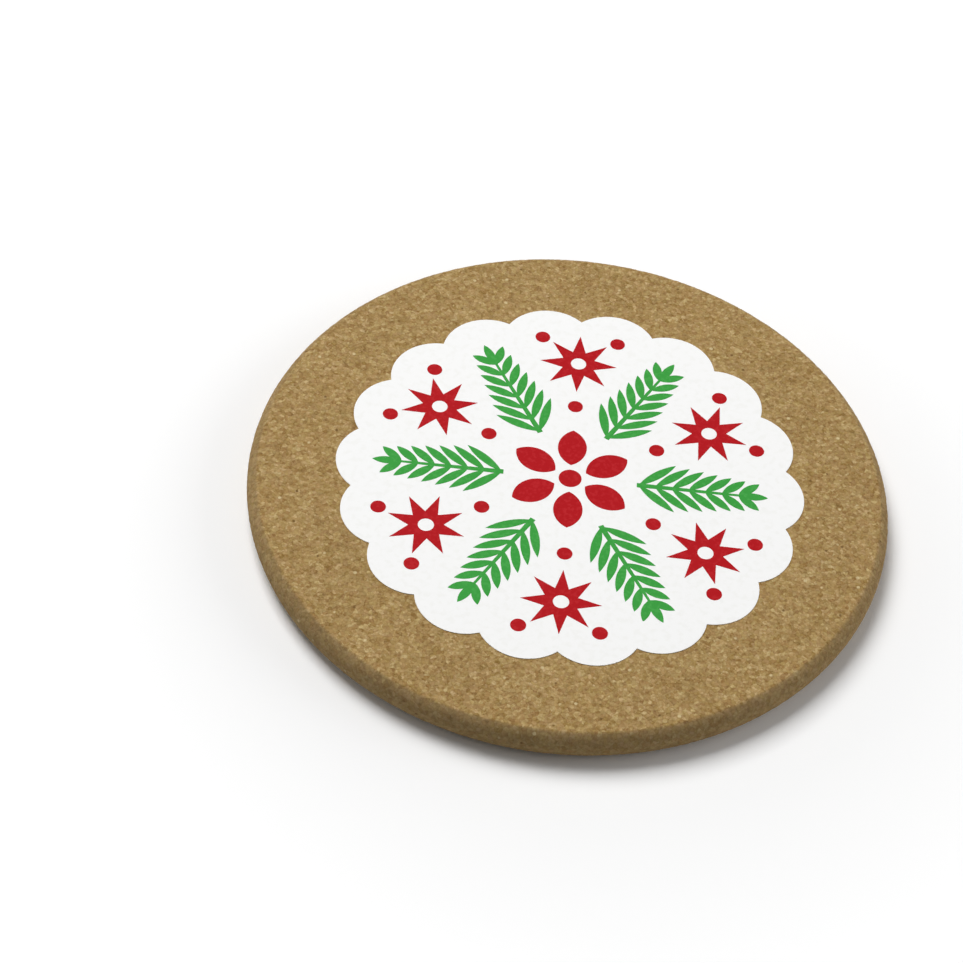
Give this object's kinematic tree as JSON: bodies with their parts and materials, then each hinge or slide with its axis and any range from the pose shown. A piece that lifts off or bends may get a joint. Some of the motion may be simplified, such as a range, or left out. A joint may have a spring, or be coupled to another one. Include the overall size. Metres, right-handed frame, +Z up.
{
  "type": "drink coaster",
  "caption": "Round agglomerated-cork drink coaster with a rounded side and a scalloped white label printed with sprigs, stars and a rosette.",
  "frame": {"origin": "centre of the underside, on the surface that the coaster lies on", "axes": "+Z up, out of the printed face, along the axis of the disc; +X along one of the printed sprigs"},
  "size_m": [0.1, 0.1, 0.0056],
  "materials": {
    "cork": "fine-grained agglomerated cork, sanded, unsealed",
    "adhesive": "clear to cream pressure-sensitive adhesive",
    "film": "white satin vinyl film",
    "green_ink": "satin green printing ink",
    "red_ink": "satin red printing ink"
  },
  "bodies": {
    "root": {"cork_disc": "cork", "label_adhesive": "adhesive", "label_film": "film", "sprig_print": "green_ink", "star_print": "red_ink", "rosette_print": "red_ink", "berry_print": "red_ink"}
  },
  "joints": []
}
